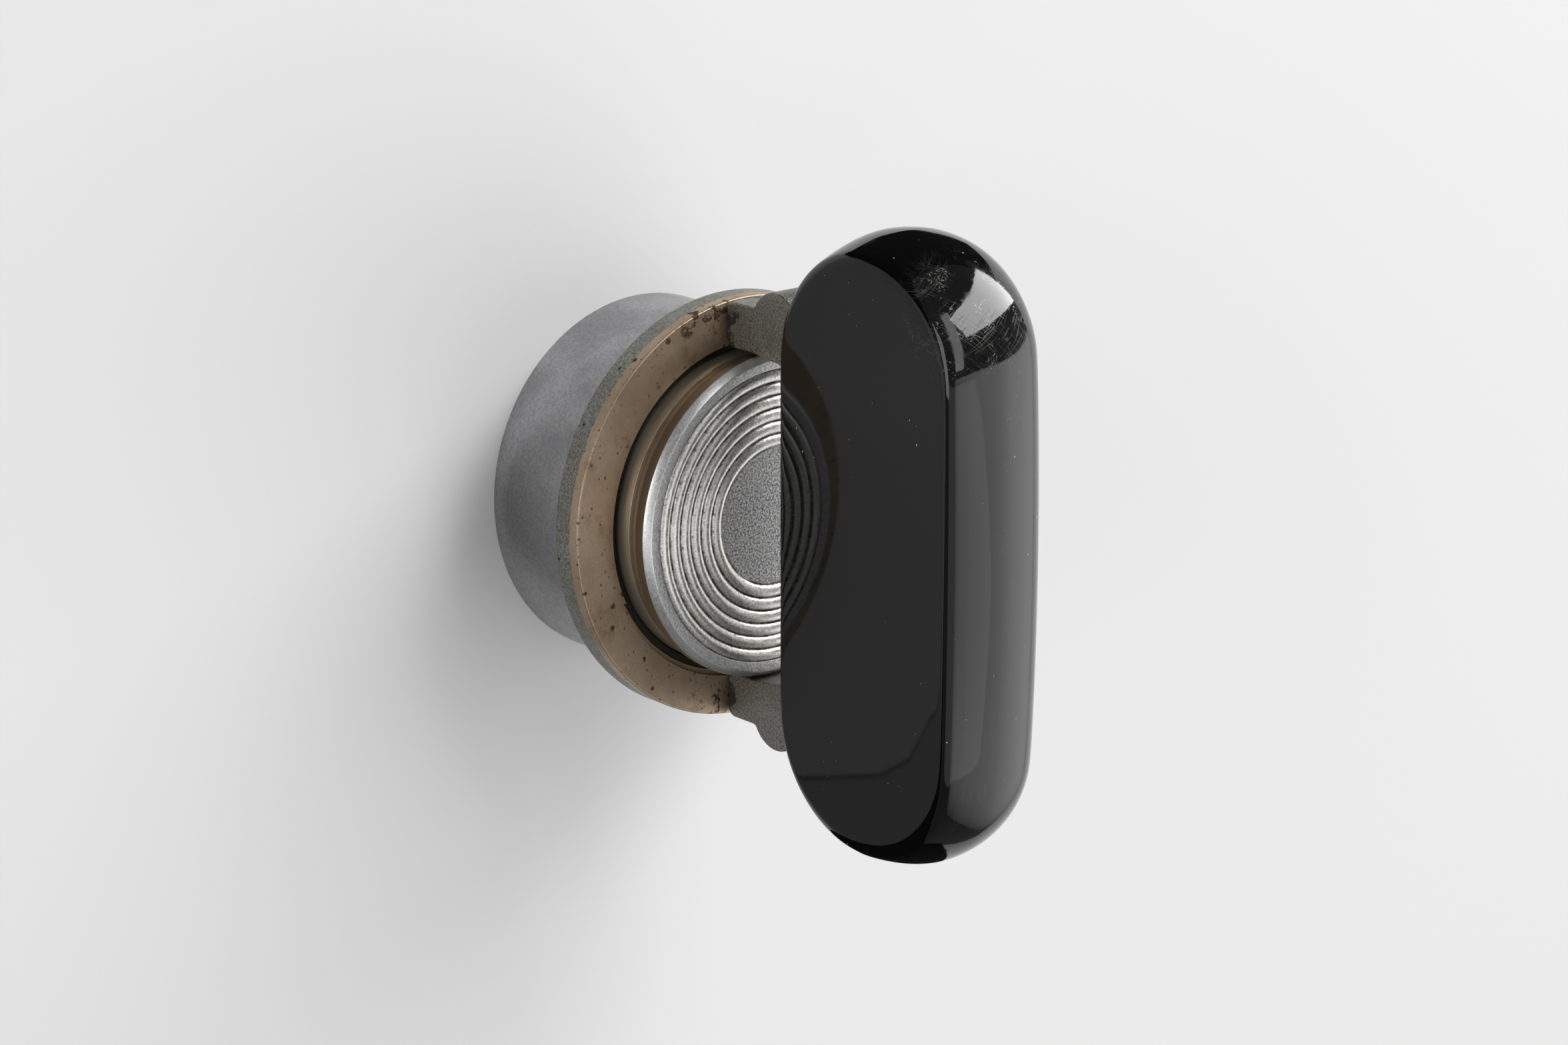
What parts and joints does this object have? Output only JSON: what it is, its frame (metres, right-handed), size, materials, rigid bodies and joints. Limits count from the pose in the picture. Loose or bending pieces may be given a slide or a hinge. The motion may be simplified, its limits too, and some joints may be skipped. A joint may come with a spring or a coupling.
{
  "type": "fold-out winding key",
  "caption": "Black moulded winding key hinged on a two-armed metal fork, turning with a ringed dial above a round housing that holds its bearing, ratchet and click.",
  "frame": {"origin": "centre of the mounting face under the housing, on the winding axis", "axes": "+Z out along the winding axis, Y along the grip's hinge, the grip's flat face towards -X"},
  "size_m": [0.0285, 0.0418, 0.0355],
  "materials": {
    "black_moulding": "polished black moulding with fine scratches",
    "frosted_dial": "fine frosted, turned beads",
    "blasted_fork": "sandblasted grey metal",
    "tan_plate": "finely brushed, tarnished tan with dark specks",
    "brown_drum": "turned, tarnished brown-grey",
    "bright_steel": "plain machined steel",
    "spring_steel": "blued spring steel",
    "bearing_brass": "plain turned brass",
    "housing_alloy": "as machined, dull grey"
  },
  "bodies": {
    "base": {"housing": "housing_alloy", "bearing_bush": "bearing_brass", "housing_cover": "bright_steel", "cover_screws": "bright_steel", "click_screw": "bright_steel", "click_spring": "spring_steel", "spring_screw": "bright_steel"},
    "winder": {"winding_arbor": "bright_steel", "ratchet_wheel": "bearing_brass", "retaining_ring": "spring_steel", "thrust_washer": "bearing_brass", "key_fork": "blasted_fork", "ring_plate": "tan_plate", "drum_ring": "brown_drum", "drum_screws": "bright_steel", "ringed_dial": "frosted_dial", "fork_screw": "bright_steel", "lock_washer": "bright_steel"},
    "key": {"grip": "black_moulding", "hinge_block": "bright_steel", "grip_screws": "bright_steel", "hinge_pins": "bright_steel", "hinge_washers": "bearing_brass"},
    "click": {"click": "bright_steel"}
  },
  "joints": [
    {"name": "winding", "type": "hinge", "parent": "base", "child": "winder", "pos_m": [0, 0, 0], "axis": [0, 0, 1], "continuous": true},
    {"name": "key_fold", "type": "hinge", "parent": "winder", "child": "key", "pos_m": [0.0005, 0, 0.0212], "axis": [0, 1, 0], "range_deg": [0, 90]},
    {"name": "click_lift", "type": "hinge", "parent": "base", "child": "click", "pos_m": [-0.00719, 0.00415, 0.005], "axis": [0, 0, 1], "range_deg": [0, 9], "stiffness_Nm_per_rad": 0.001, "springref_deg": -4.58, "deforming": ["click_spring"]}
  ]
}
